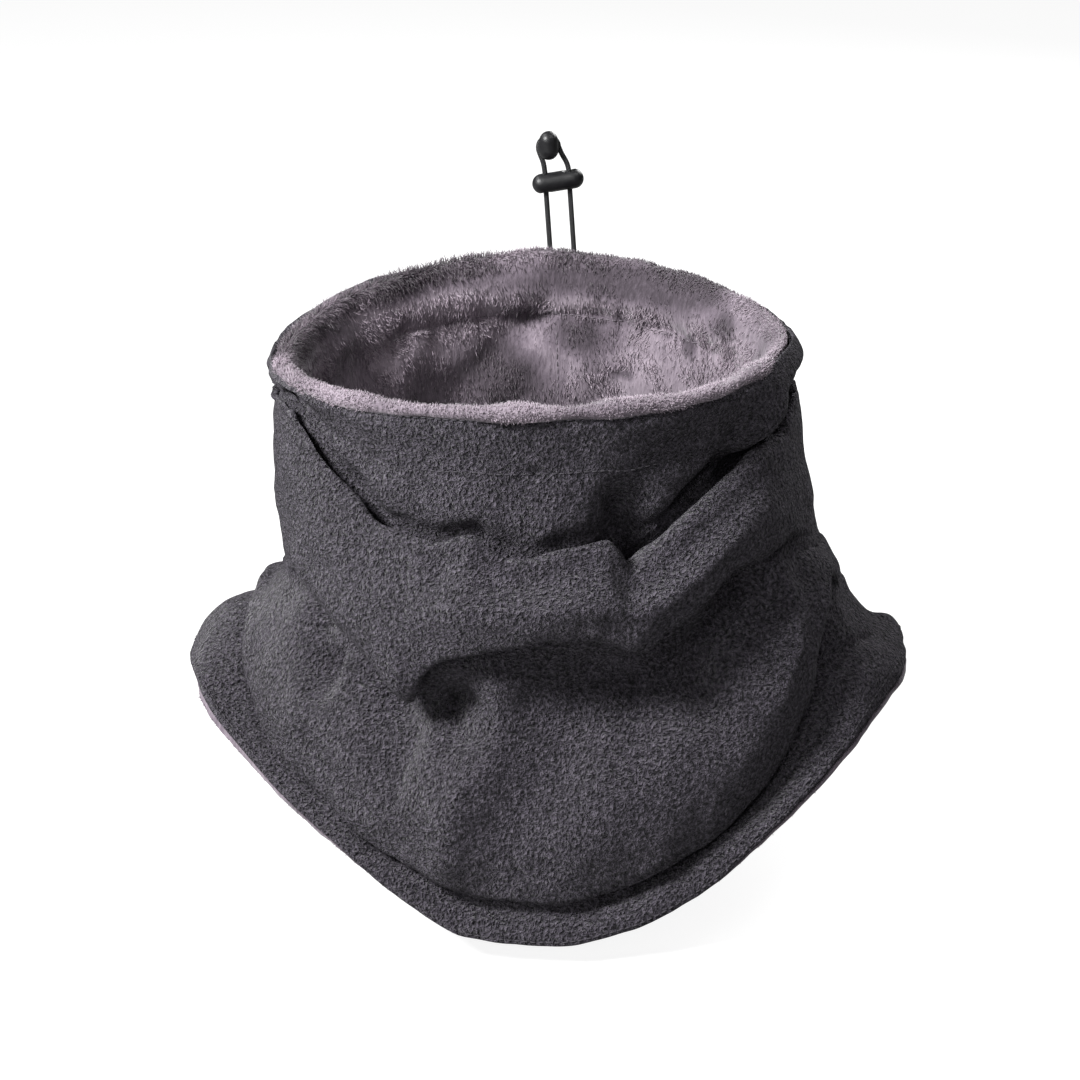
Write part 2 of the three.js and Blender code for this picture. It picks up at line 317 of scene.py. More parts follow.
def thread_material(name, dark, light):
    """Spun polyester thread, twisted along its length."""
    material, tree, shader = shader_tree(name)
    twist = grain(tree, places(tree), 5000, 2)
    looks = {
        "Base Color": ramp(tree, twist, [(0.3, dark), (0.7, light)]),
        "Roughness": 0.75,
        "Normal": bump(tree, twist, 0.5, 0.0001),
    }
    feed(tree, shader, looks)
    return material


def enamel_material():
    """Black enamelled metal, a little worn."""
    material, tree, shader = shader_tree("enamelled_metal")
    wear = grain(tree, places(tree), 900, 5)
    stops = [(0.45, (0.02, 0.02, 0.022)), (0.75, (0.07, 0.07, 0.075))]
    looks = {
        "Base Color": ramp(tree, wear, stops),
        "Roughness": spread(tree, wear, 0.25, 0.5),
        "Metallic": 0.8,
    }
    feed(tree, shader, looks)
    return material


make_camera()
make_studio()
FLEECE = fleece_material()
PLUSH = plush_material()
MOULDED = moulded_material()
CORD = cord_material()
THREAD = thread_material("charcoal_thread", (0.02, 0.018, 0.022), (0.06, 0.054, 0.066))
LINING_THREAD = thread_material("mauve_thread", (0.08, 0.068, 0.08), (0.2, 0.172, 0.198))
ENAMEL = enamel_material()

# ------------------------ meshes


def mesh_object(name, vertices, faces, material):
    """A mesh from arrays of vertices in millimetres and of faces that all have as many corners."""
    mesh = bpy.data.meshes.new(name)
    mesh.vertices.add(len(vertices))
    mesh.vertices.foreach_set("co", (np.asarray(vertices, float) * MM).ravel())
    mesh.loops.add(faces.size)
    mesh.loops.foreach_set("vertex_index", faces.ravel().astype(np.int32))
    mesh.polygons.add(len(faces))
    starts = np.arange(len(faces), dtype=np.int32) * faces.shape[1]
    mesh.polygons.foreach_set("loop_start", starts)
    mesh.polygons.foreach_set("use_smooth", np.full(len(faces), True))
    mesh.update(calc_edges=True)
    mesh.validate()
    mesh.materials.append(material)
    obj = link(bpy.data.objects.new(name, mesh))
    return obj


def grid_faces(rows, columns, closed_section=True):
    """Quads of a grid that closes round its columns, and where asked round its rows too."""
    here = np.arange(rows * columns).reshape(rows, columns)
    right = np.roll(here, -1, axis=1)
    below = np.roll(here, -1, axis=0)
    corner = np.roll(right, -1, axis=0)
    quads = np.stack([here, right, corner, below], axis=-1)
    if not closed_section:
        quads = quads[:-1]
    return quads.reshape(-1, 4)


# ------------------------ drawcord

CORD_DIAMETER = 0.002

# The free loop, from one eyelet up through the lock, round behind the bead and back down
LOOP_ROUTE = [
    (4.5, 80.9, 3.9), (4.6, 82.3, 3.9), (4.7, 84.3, 4.5), (4.8, 86.1, 6.2), (4.75, 86.9, 8.8),
    (4.4, 87, 12.5), (3.7, 87, 22.5), (3, 87, 32.5), (2.3, 87, 42.5), (1.7, 87, 51),
    (1.1, 87.1, 53.8), (0.1, 87.3, 56.4), (-0.6, 87.9, 59), (0.2, 88.6, 61.4), (3.3, 89, 63),
    (6.4, 88.6, 61.4), (7.3, 87.9, 59), (8.5, 87.3, 56.4), (10, 87.1, 53.8), (10.9, 87, 51),
    (11.5, 87, 42.5), (12.2, 87, 32.5), (12.9, 87, 22.5), (13.6, 87, 12.5), (13.9, 86.9, 8.8),
    (14.1, 86, 6), (14.15, 84.2, 4.2), (14.1, 82, 3.5), (14, 79.9, 3.5),
]


def cord_curve(name, route, diameter):
    curve = bpy.data.curves.new(name, "CURVE")
    curve.dimensions = "3D"
    curve.bevel_depth = diameter / 2
    curve.bevel_resolution = 5
    curve.resolution_u = 8
    spline = curve.splines.new("BEZIER")
    spline.bezier_points.add(len(route) - 1)
    for point, place in zip(spline.bezier_points, route):
        point.co = Vector(place) * MM
        point.handle_left_type = point.handle_right_type = "AUTO"
    curve.materials.append(CORD)
    obj = link(bpy.data.objects.new(name, curve))
    return obj


# ------------------------ curves round the tube

COLUMNS = 432
ROWS_PER_SPAN = 7
COLUMN_DEGREES = np.arange(COLUMNS) * 360 / COLUMNS


def hermite(knots, values, at):
    """Smooth interpolation that doesn't overshoot."""
    step = np.diff(knots)
    rise = np.diff(values) / step
    slope = np.zeros(len(knots))
    same = rise[:-1] * rise[1:] > 0
    slope[1:-1][same] = 2 * (rise[:-1] * rise[1:])[same] / (rise[:-1] + rise[1:])[same]
    i = np.clip(np.searchsorted(knots, at) - 1, 0, len(step) - 1)
    t = (at - knots[i]) / step[i]
    return (
        values[i] * (1 + 2 * t) * (1 - t) ** 2
        + slope[i] * step[i] * t * (1 - t) ** 2
        + values[i + 1] * t**2 * (3 - 2 * t)
        + slope[i + 1] * step[i] * t**2 * (t - 1)
    )


def around(table):
    """A value for every column, from pairs of (degrees, value): 0 is +X, 90 front and 270 back."""
    knots, values = np.array(table, float).T
    knots = np.concatenate([knots[-3:] - 360, knots, knots[:3] + 360])
    values = np.concatenate([values[-3:], values, values[:3]])
    return hermite(knots, values, COLUMN_DEGREES)


def blur(values, columns):
    """Running average round the tube, over that many columns to each side."""
    total = sum(np.roll(values, k, axis=0) for k in range(-columns, columns + 1))
    return total / (2 * columns + 1)


# Height of the rim's seam and of the hem's edge, round the tube
RIM_EDGE = [
    (0, 6), (15, 6.5), (29, 6.4), (49, 4.4), (66, 3.6), (89, 3.2), (114, 2.2), (131, 1.6),
    (148, 1.2), (167, 0.2), (180, -0.2), (200, 2), (225, 8.5), (250, 14), (270, 16.3),
    (290, 15), (315, 11), (340, 7),
]
HEM_EDGE = [
    (0, -107), (10, -109.5), (20, -112.5), (30, -118.5), (42, -131.5), (54, -147.5), (66, -165),
    (78, -176.5), (90, -181), (103, -178.8), (111, -170), (119, -158), (128, -144.8),
    (138, -132.8), (147, -122.3), (155, -115), (167, -111), (180, -111), (200, -118),
    (225, -140), (250, -163), (270, -171), (290, -163), (315, -141), (330, -128), (346, -116),
]

# Where the fleece comes up past the plush at the rim, as a share
FLEECE_SHOWS = [
    (0, 1), (18, 1), (32, 0.3), (45, 0), (140, 0), (165, 0.4), (185, 1), (225, 1), (248, 0.6),
    (262, 0), (300, 0), (330, 0.6),
]

# Height of each fold's path: the collar's, the roll's lower edge and the bulge's lower edge
COLLAR_FOLD = [
    (0, -11), (12, -8.5), (17, -12.5), (22, -18), (34, -20.5), (46, -27.5), (58, -38),
    (66, -46.5), (70, -50), (72.5, -45), (75, -40.5), (84, -42.5), (92, -46), (98, -44.5),
    (104, -38.5), (112, -42), (120, -40.5), (127, -38), (133, -29.5), (142, -22), (150, -11),
    (158, -6.5), (170, -7.5), (180, -8.5), (205, -16), (240, -30), (270, -35), (300, -30),
    (335, -16),
]
ROLL_FOLD = [
    (0, -60), (14, -58), (28, -52), (43, -52.5), (53, -61.5), (62, -69.3), (68, -75),
    (78, -69.5), (87, -69), (96, -72.3), (106, -76.5), (112, -80), (115.5, -86), (119, -96),
    (125, -88.5), (137, -75.5), (146, -68.5), (157, -63), (170, -68), (180, -74), (210, -74),
    (240, -78), (270, -82), (300, -78), (335, -70),
]
BULGE_FOLD = [
    (0, -82), (8, -79), (14, -76), (18, -73), (23, -79), (28, -91), (33, -106), (38, -118),
    (41.5, -125.5), (50, -138), (61, -148.5), (71, -156.5), (79, -162.5), (85, -165), (96, -165.5),
    (102, -165), (107, -162), (113, -157.5), (122, -152), (132, -141), (141, -133),
    (152, -125.5), (160, -116.5), (165, -108), (170, -99.5), (176, -92), (182, -89), (190, -90.5),
    (205, -101), (235, -125), (270, -145), (305, -128), (325, -114), (343, -101),
]

# How far the cloth turns in behind each fold's lip
COLLAR_DEPTH = [
    (0, 4), (18, 8), (26, 13), (40, 14), (60, 14), (67, 19), (71, 19), (75, 14), (80, 11),
    (92, 11), (104, 12), (112, 12), (127, 12), (135, 11), (142, 8), (150, 4.5), (160, 2.5),
    (180, 2), (225, 4), (270, 4), (315, 4),
]
ROLL_DEPTH = [
    (0, 0.5), (18, 1.5), (28, 4), (43, 8), (55, 11), (68, 10), (78, 11), (96, 12), (108, 12),
    (113, 9), (118, 7), (124, 8), (130, 9), (146, 9), (158, 5), (168, 1), (200, 0.5), (270, 3),
    (330, 0.5),
]

# How far the cloth is sunk below the roll
SUNK = [
    (0, 0), (30, 1), (42, 4), (52, 8), (64, 14), (78, 13), (96, 13), (108, 12), (116, 8), (126, 8),
    (140, 8), (155, 5), (172, 1), (190, 0), (270, 0),
]
BULGE_DEPTH = [
    (0, 1), (12, 2), (22, 6), (34, 17), (45, 15), (60, 12), (79, 6), (96, 4.5), (110, 5.5),
    (125, 9), (141, 11), (155, 13), (163, 14), (170, 11), (178, 6), (190, 3), (270, 2), (340, 1),
]

# How much of the bulge stands out over the hem, as a share
BULGE_SHARE = [
    (0, 0.05), (10, 0.1), (18, 0.32), (24, 0.7), (33, 1), (90, 1), (132, 1), (148, 1.15),
    (163, 1.15), (172, 0.85), (180, 0.5), (200, 0.25), (270, 0.6), (340, 0.15),
]

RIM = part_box("rim_seam_thread")
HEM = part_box("hem_seam_thread")
RIM_X = (RIM[0][0] + RIM[1][0]) / 2 / MM
HEM_X = (HEM[0][0] + HEM[1][0]) / 2 / MM
HEM_LOW = HEM[0][2] / MM
HEM_SIZE = (
    (HEM[1][0] - HEM[0][0]) / 2 / MM + 2.5,
    -HEM[0][1] / MM + 1,
    HEM[1][1] / MM + 1,
)

SHELL_MM = 2.2
LINING_MM = 1.6
CASING_DROP = 20
BACK_ROW_STEP = 4

# ------------------------ dents and bumps

# Bands of the fleece's rows, and the dents pressed into them: the band, a path over its face as
# (degrees, height), the dent's width and its depth, which is negative where it is a bump
SHELL_BANDS = {
    "collar": slice(0, 5 * ROWS_PER_SPAN),
    "roll": slice(10 * ROWS_PER_SPAN, 14 * ROWS_PER_SPAN),
    "bulge": slice(15 * ROWS_PER_SPAN, 19 * ROWS_PER_SPAN),
    "hem": slice(21 * ROWS_PER_SPAN, None),
}
SHELL_PRESSES = [
    ("collar", [(68, -40), (71, -31)], 8, 10),
    ("collar", [(52, -33), (46, -23), (40, -13)], 6, 5),
    ("collar", [(27, -7), (33, -15)], 9, -6),
    ("collar", [(150, -14), (125, -17.5), (90, -17.5), (55, -16), (35, -14)], 2, 1.6),
    ("bulge", [(119, -90), (113, -97), (107, -103)], 6, 5),
    ("bulge", [(108, -101), (106, -106)], 8, 5),
    ("bulge", [(101, -94), (102, -108), (106, -128), (108, -150)], 10, -6),
    ("bulge", [(68, -84), (78, -97), (86, -112), (93, -133)], 15, 5),
    ("bulge", [(41, -66), (46, -74), (52, -84), (55, -96)], 8, 8),
    ("bulge", [(141, -118), (134, -128), (125, -139)], 3, 2.5),
    ("bulge", [(33, -66), (36, -80), (43, -100)], 8, -4),
    ("roll", [(152, -58), (138, -67), (126, -79), (119, -88)], 7, -4.3),
    ("bulge", [(158, -66), (148, -75), (138, -83), (130, -93), (124, -102)], 8, 7),
    ("bulge", [(160, -56), (154, -70), (149, -84), (145, -96)], 4.5, 4.5),
    ("bulge", [(143, -96), (142, -101)], 5, 11),
    ("bulge", [(139, -96), (131, -86)], 3, -1.5),
    ("hem", [(2, -97), (12, -100), (24, -100), (34, -99)], 5, 6),
]

# The fleece's unevenness: how far it moves the cloth, the size of its waves, and a seed
UNEVENNESS = [(1.3, 17, 1), (0.5, 6, 2)]

LINING_ROWS_PER_SPAN = 5
GROOVE_RING = 7
LINING_SEAM_DEGREES = 276

# Dents in the lining's wall, the last of which is the ridge of its closing seam
LINING_PRESSES = [
    ([(270, 0), (262, -14), (252, -26), (246, -40)], 8, -3),
    ([(283, -8), (282, -24), (280, -42)], 9, 2),
    ([(236, -6), (230, -22), (226, -40)], 9, 2.5),
    ([(305, -10), (300, -30)], 10, 2),
    ([(LINING_SEAM_DEGREES, 0), (LINING_SEAM_DEGREES, -60)], 1.3, -1.1),
]

# ------------------------ rings and folds


def ring(size, height):
    """Points round the tube at a height: size is its half-width, front depth and back depth. Its
    centre drifts sideways from the rim's centre to the hem's."""
    side, front, back = size
    angle = np.radians(COLUMN_DEGREES)
    depth = np.where(np.sin(angle) > 0, front, back)
    height = np.broadcast_to(height, angle.shape)
    centre = RIM_X + (HEM_X - RIM_X) * np.clip(height / HEM_LOW, 0, 1)
    return np.stack([centre + side * np.cos(angle), -depth * np.sin(angle), height], axis=1)


def unit(vectors):
    return vectors / np.maximum(np.linalg.norm(vectors, axis=-1, keepdims=True), 1e-9)


def across(path):
    """Outward and downward directions at each point of a path, across it."""
    along = unit(np.roll(path, -1, axis=0) - np.roll(path, 1, axis=0))
    out = np.stack([along[:, 1], -along[:, 0], 0 * along[:, 0]], axis=1)
    out = unit(out * np.sign((out * path).sum(axis=1, keepdims=True)))
    down = np.cross(along, out)
    down *= np.where(down[:, 2:] > 0, -1, 1)
    return out, unit(blur(down, 3))


# Depth at which a fold is turned back all the way, and the room under its lip or before its crest
FULL_FOLD = 6
LIP_ROOM = 4.5
CREST_ROOM = 5.5


def fold(size, height, depth, stands, lean=0.0):
    """Rings across one fold, from top to bottom. Its lip hangs over the cloth below, or, where it
    stands, comes up in front of the cloth above. Where it isn't folded it leans outwards."""
    path = ring(size, height)
    out, down = across(path)
    turn = -down if stands else down
    depth = around(depth)[:, None]
    opens = np.clip(depth / FULL_FOLD, 0, 1)
    room = np.maximum(depth - CREST_ROOM, depth / 2) if stands else np.minimum(depth, LIP_ROOM)
    flat = (-7, -3.5, 0, 3.5, 7)
    folded = (-7, 1, 3, -15 if stands else -11, 3 if stands else 5)
    inset = (0, 0, room, depth + opens / 2, depth + (opens if stands else 0))
    slope = (1 - opens) * np.broadcast_to(lean, COLUMNS)[:, None]
    rings = [
        path + turn * (a * (1 - opens) + b * opens) + out * (a * slope - c)
        for a, b, c in zip(flat, folded, inset)
    ]
    return rings[::-1] if stands else rings


def between(upper, lower, share, size, hold=1.0):
    """A ring part of the way from one ring to another, with its own size."""
    share = np.broadcast_to(share, COLUMNS)
    own = ring(size, upper[:, 2] * (1 - share) + lower[:, 2] * share)
    mixed = upper * (1 - share[:, None]) + lower * share[:, None]
    return own * hold + mixed * (1 - hold)


def grown(size, gain, share):
    return tuple(s + g * share for s, g in zip(size, gain))


def spline_rows(controls, rows_per_span):
    """Rows of a cubic B-spline through each column's control points, its ends kept."""
    ends = [2 * controls[0] - controls[1], 2 * controls[-1] - controls[-2]]
    points = np.concatenate([ends[:1], controls, ends[1:]])
    rows = []
    for i in range(len(controls) - 1):
        for t in np.arange(rows_per_span) / rows_per_span:
            weights = np.array(
                [(1 - t) ** 3, 3 * t**3 - 6 * t**2 + 4, -3 * t**3 + 3 * t**2 + 3 * t + 1, t**3]
            )
            rows.append(np.tensordot(weights / 6, points[i : i + 4], axes=1))
    rows.append(controls[-1])
    return np.array(rows)


def grid_normals(grid):
    """Unit normals of an open grid, outwards where its rows run down."""
    along = np.roll(grid, -1, axis=1) - np.roll(grid, 1, axis=1)
    return unit(np.cross(along, np.gradient(grid, axis=0)))


def radial(grid):
    """Unit directions away from the tube's axis."""
    return unit(grid * (1, 1, 0))


def on_face(grid, degrees, height):
    """The outermost point of a column near a height."""
    column = grid[:, int(round(degrees / 360 * COLUMNS)) % COLUMNS]
    far = np.hypot(column[:, 0], column[:, 1]) - 4 * np.abs(column[:, 2] - height)
    return column[np.argmax(far)]


def press(grid, rows, path, width, depth):
    """Moves rows of the cloth in along a path over its face."""
    part = grid[rows]
    anchors = np.array([on_face(part, *place) for place in path])
    line = np.concatenate(
        [np.linspace(a, b, 12, endpoint=False) for a, b in zip(anchors, anchors[1:])]
        + [anchors[-1:]]
    )
    near = np.full(part.shape[:2], np.inf)
    for point in line:
        near = np.minimum(near, ((part - point) ** 2).sum(axis=2))
    part -= radial(part) * (depth * np.exp(-near / width**2))[..., None]


def roughen(grid, amount, size, seed):
    """Uneven cloth: moves every point along its normal by smooth noise."""
    normals = grid_normals(grid)
    offset = Vector((seed * 7.1, seed * 3.7, 0))
    flat = [noise.noise(Vector(point) / size + offset) for point in grid.reshape(-1, 3).tolist()]
    return grid + normals * (amount * np.array(flat).reshape(grid.shape[:2]))[..., None]


# ------------------------ fleece shell

rim_edge = around(RIM_EDGE)
hem_edge = around(HEM_EDGE)
fleece_shows = around(FLEECE_SHOWS)


def shell_rings():
    """Control rings of the fleece's outer face, from the rim down to the hem: the collar, its fold,
    the roll and its fold, the bulge and its fold, and the band down to the hem's edge."""
    collar = around(COLLAR_FOLD)
    roll = around(ROLL_FOLD)
    bulge = around(BULGE_FOLD)
    share = around(BULGE_SHARE)
    cosine = np.cos(np.radians(COLUMN_DEGREES))
    left, right = np.clip(-cosine, 0, 1) ** 3, np.clip(cosine, 0, 1) ** 3
    sunk = around(SUNK)
    stitch = np.maximum(rim_edge - CASING_DROP, collar * 0.5 + rim_edge * 0.5)
    rings = [
        ring((93.5 + left, 80, 78.5 + fleece_shows), rim_edge + 5 * fleece_shows),
        ring((96.5 + right + 1.5 * left, 81.5, 80), rim_edge * 0.85 + stitch * 0.15),
        ring((92 + 5 * right, 79.8, 80), rim_edge * 0.5 + stitch * 0.5),
        ring((91 - left + 3 * right, 78.6, 79.4), stitch),
        ring((91 - left, 82.5, 79), np.minimum(stitch * 0.6 + collar * 0.4, collar + 6)),
    ]
    rings += fold((96.5 - 2 * left, 89.5, 83), collar, COLLAR_DEPTH, stands=True)
    top, low = rings[-1].copy(), ring((98, 96, 88), roll)
    top[:, 2] = blur(top[:, 2], 12)
    rings.append(between(top, low, 0.4, (99 - 3 * left - right, 102, 86.5)))
    rings += fold((97 - 2 * left + 6 * right, 100, 88), roll, ROLL_DEPTH, False, 0.3 * right)
    edge = ring(grown((103 + 4 * right, 95, 91), (13 - 4 * right, 10, 4), share), bulge)
    hollow = grown((95 + 10.5 * right - sunk, 89 - sunk, 90), (1, 4, 4), share)
    belly = grown((103 - 10 * left + 5 * right, 95, 91), (11, 12, 5), share)
    rings += [between(low, edge, 0.25, hollow), between(low, edge, 0.65, belly)]
    lip = grown((103 - 3 * left + 9 * right, 95, 91), (12 - 9 * right, 10, 4), share)
    rings += fold(lip, bulge, BULGE_DEPTH, False, 0.55 * right)
    side, front, back = HEM_SIZE
    last = ring((side + 4 * right, front + 9, back), hem_edge)
    base = ring((104 + 10 * right, 93, 93), bulge)
    high = (112 + 2 * left + 11 * right, 103, 94)
    wide = (124 + 3 * left + 8 * right, 108, 95.5)
    hold = np.maximum(left, right)[:, None]
    rings += [
        between(base, last, 0.35 - 0.23 * left + 0.35 * right, high, 0.6 + 0.4 * hold),
        between(base, last, 0.7 - 0.18 * left - 0.08 * right, wide, 0.7 + 0.3 * hold),
        last,
    ]
    return np.array(rings)


def shell_face():
    grid = spline_rows(shell_rings(), ROWS_PER_SPAN)
    for band, path, width, depth in SHELL_PRESSES:
        press(grid, SHELL_BANDS[band], path, width, depth)
    for amount, size, seed in UNEVENNESS:
        grid = roughen(grid, amount, size, seed)
    return grid


# How far a sheet's edge stands past its last row, in rows
EDGE_BEYOND = 0.6


def thickened(face, thickness):
    """Closes a face into a sheet: the face, then a coarser back face a thickness behind it."""
    normals = grid_normals(face)
    back = face - normals * thickness
    back = blur(back.transpose(1, 0, 2), 2).transpose(1, 0, 2)
    lip = face[-1] - normals[-1] * thickness / 2 + (face[-1] - face[-2]) * EDGE_BEYOND
    return np.concatenate([face, lip[None], back[::-BACK_ROW_STEP]])


def make_shell():
    solid = thickened(shell_grid, SHELL_MM)
    faces = grid_faces(*solid.shape[:2])
    obj = mesh_object("fleece_shell", solid.reshape(-1, 3), faces, FLEECE)
    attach(obj, "gaiter")
    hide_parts("shell")
    return obj


shell_grid = shell_face()
shell = make_shell()

# ------------------------ plush lining

LAYER_GAP = 1.5
NEAR_HEIGHT = 7
WIDEST = 140
GATHER_DEPTH = 1.8
LINING_UNEVENNESS = (1.4, 15, 5)
INSIDE_FOLD = 8
BELOW_FOLD = 6
BEHIND_FLEECE = 4.6
RIM_TUCK = 4.1
HEM_BEYOND = 1.8


def under_fold():
    """A ring inside and below the lowest fold, where the lining has to pass."""
    rows = shell_grid[-5 * ROWS_PER_SPAN : -2 * ROWS_PER_SPAN]
    least = np.hypot(rows[..., 0], rows[..., 1]).min(axis=0)
    low = rows[-ROWS_PER_SPAN:, :, 2].min(axis=0)
    least, low = (
        blur(np.minimum.reduce([np.roll(v, k) for k in range(-4, 5)]), 6) for v in (least, low)
    )
    under = radial(rows[-1:])[0] * (least - INSIDE_FOLD)[:, None]
    under[:, 2] = low - BELOW_FOLD
    return under


def lining_rings():
    """Control rings of the plush's face: from the seam outside the rim, over it and down inside.
    Towards the hem it follows the fleece's inner face."""
    low = rim_edge - CASING_DROP
    mid = (low + hem_edge) / 2
    normals = grid_normals(shell_grid)
    cosine = np.cos(np.radians(COLUMN_DEGREES))
    shows = np.clip(np.abs(cosine) * 1.6 - 0.5, 0, 1)[:, None]
    tucked = RIM_TUCK * fleece_shows
    top = rim_edge + 4.4
    under = under_fold()
    edge, edge_out = shell_grid[-1], normals[-1]
    drop = np.array([0, 0, -1.0])
    beyond = unit(edge - shell_grid[-4]) * HEM_BEYOND * np.clip(cosine * 1.6 - 0.4, 0, 1)[:, None]
    return np.array(
        [
            ring((94.5 - tucked, 81 - tucked, 79.5 - tucked), rim_edge - 0.5 + fleece_shows),
            ring((96 - tucked, 82.3 - tucked, 81 - tucked), rim_edge + 1.5 + 2 * fleece_shows),
            ring((94.5 - tucked, 80.8 - tucked, 79.5 - tucked), top),
            ring((90 - tucked / 2, 76.5, 76 - tucked / 2), top),
            ring((85, 72, 71.5), rim_edge - 1),
            ring((83, 70, 69), rim_edge - 8),
            ring((83.5, 70.5, 69.5), rim_edge - 14),
            ring((86, 73, 73), rim_edge - 18.5),
            ring((84, 71, 70.5), rim_edge - 23),
            ring((83.5, 70.5, 69.5), rim_edge - 30),
            ring((83, 70, 68), low * 0.75 + mid * 0.25),
            ring((84, 72, 69), low * 0.5 + mid * 0.5),
            ring((88, 78, 76), mid),
            ring((94, 84, 82), mid * 0.65 + hem_edge * 0.35),
            under,
            *(shell_grid[-k] - normals[-k] * BEHIND_FLEECE for k in (11, 8, 6, 4)),
            edge - edge_out * 3.4 + drop * 1.2 * shows,
            edge - edge_out * 2.6 + drop * 2.4 * shows + beyond,
            edge - edge_out * (2.2 - 1.4 * shows) + drop * 1.8 * shows + beyond,
        ]
    )


def keep_inside(grid, clearance):
    """Draws a grid towards the tube's axis until it clears the fleece near each point's height."""
    shell_radius = np.hypot(shell_grid[..., 0], shell_grid[..., 1])
    heights = np.arange(-190, 10, 3)
    limit = []
    for height in heights:
        near = np.abs(shell_grid[..., 2] - height) < NEAR_HEIGHT
        limit.append(np.where(near, shell_radius, WIDEST).min(axis=0))
    limit = np.array(limit)
    limit = np.minimum.reduce([np.roll(limit, k, axis=1) for k in range(-5, 6)])
    limit = blur(limit.T, 6).T
    limit[1:-1] = (limit[:-2] + limit[1:-1] + limit[2:]) / 3
    limit -= clearance
    for column in range(COLUMNS):
        points = grid[:, column]
        radius = np.hypot(points[:, 0], points[:, 1])
        most = np.interp(points[:, 2], heights, limit[:, column])
        points[:, :2] *= np.minimum(1, most / radius)[:, None]


def lining_face():
    step = LINING_ROWS_PER_SPAN
    grid = spline_rows(lining_rings(), step)
    keep_inside(grid[5 * step : 14 * step + 3], SHELL_MM + LINING_MM + LAYER_GAP)
    groove = GROOVE_RING * step
    turn = np.radians(COLUMN_DEGREES)
    gathers = np.array([noise.noise((20 * math.cos(t), 20 * math.sin(t), 1.5)) for t in turn])
    pull = np.exp(-(((np.arange(len(grid)) - groove) / (1.3 * step)) ** 2))
    grid -= radial(grid) * (GATHER_DEPTH * pull[:, None] * gathers[None])[..., None]
    for path, width, depth in LINING_PRESSES:
        press(grid, slice(groove, 13 * step), path, width, depth)
    rough = roughen(grid, *LINING_UNEVENNESS)
    grid[: 13 * step] = rough[: 13 * step]
    return grid


# Strokes in the pile inside the back, some of them painted shade: degrees, height, half-width,
# half-height, change of tone
BRUSH_AND_SHADE_MARKS = [
    # The dark strokes at 261 and 272 degrees, 26 to 28 mm down, are painted shade in the valley
    # left of the lining's seam.
    (294, -23, 6, 2.6, -0.7), (314, -9, 4, 4.5, -0.7), (328, 3, 6, 4, -0.6),
    (302, -20, 24, 22, 0.25), (281, -10, 11, 8, -0.6), (261, -26, 13, 12, -0.8),
    (272, -28, 10, 9, -0.3), (234, -9, 14, 8, 0.15), (234, -28, 14, 12, -0.1),
    (267, -3, 7, 4, -0.4), (240, 14, 44, 6, -0.4), (245, 3, 26, 5, 0.3),
    (298, 11, 34, 8, -0.9), (288, 3, 24, 4, 0.4), (186, 2, 13, 7, -0.5),
    (205, 3, 12, 5, -0.3), (335, -12, 16, 12, 0.25), (90, 8, 120, 5, 0.12),
]
MEAN_RADIUS = 84


def brushed_and_shaded(grid):
    """How light the pile looks, from 0 to 1: patches where a hand has run over it one way or
    another, and darker patches of painted shade in the back wall's folds.
    """
    flat = grid.reshape(-1, 3).tolist()
    tone = [
        0.56 + 0.34 * noise.noise(Vector(p) / 20) + 0.14 * noise.noise(Vector(p) / 7)
        for p in flat
    ]
    tone = np.array(tone).reshape(grid.shape[:2])
    for degrees, height, half_width, half_height, change in BRUSH_AND_SHADE_MARKS:
        turn = (COLUMN_DEGREES - degrees + 180) % 360 - 180
        width = (np.radians(turn) * MEAN_RADIUS / half_width)[None]
        tall = (grid[..., 2] - height) / half_height
        tone += change * np.exp(-((width**2 + tall**2) ** 1.6))
    return np.clip(tone, 0, 1)


lining_grid = lining_face()
lining_tone = brushed_and_shaded(lining_grid)
lining_out = -grid_normals(lining_grid)


def make_lining():
    """The plush as a sheet, its face outwards, with the tone of its brushing and painted shade for
    its material.
    """
    back = lining_grid - lining_out * LINING_MM
    solid = np.concatenate([lining_grid, back[::-BACK_ROW_STEP]])
    tone = np.concatenate([lining_tone, lining_tone[::-BACK_ROW_STEP]])
    faces = grid_faces(*solid.shape[:2])[:, ::-1]
    obj = mesh_object("plush_lining", solid.reshape(-1, 3), faces, PLUSH)
    layer = obj.data.attributes.new("brushed_and_shaded", "FLOAT", "POINT")
    layer.data.foreach_set("value", tone.ravel())
    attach(obj, "gaiter")
    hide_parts("lining")
    return obj


lining = make_lining()

# ------------------------ pile


def scatter(grid, outward, density):
    """Random roots over a grid's cells, at so many to the square millimetre."""
    right = np.roll(grid, -1, axis=1)
    a, b, c, d = grid[:-1], right[:-1], grid[1:], right[1:]
    area = np.linalg.norm(np.cross(b - a, c - a), axis=2)
    count = rng.poisson(area * density[:-1])
    rows, columns = (np.repeat(i.ravel(), count.ravel()) for i in np.indices(area.shape))
    u, v = rng.random((2, len(rows), 1))
    place = a[rows, columns] * (1 - u) * (1 - v) + b[rows, columns] * u * (1 - v)
    place = place + c[rows, columns] * (1 - u) * v + d[rows, columns] * u * v
    down = unit((c - a)[rows, columns])
    return place, outward[rows, columns], down, rows, columns


PILE_WIDTH = 0.34
PILE_BEND = 0.3
ROOT_DEPTH = 0.3
FIBRE_FACES = np.array(
    [[0, 2, 1]]
    + [[k, (k + 1) % 3, 3 + k] for k in range(3)]
    + [[(k + 1) % 3, 3 + (k + 1) % 3, 3 + k] for k in range(3)]
    + [[3 + k, 3 + (k + 1) % 3, 6] for k in range(3)]
)


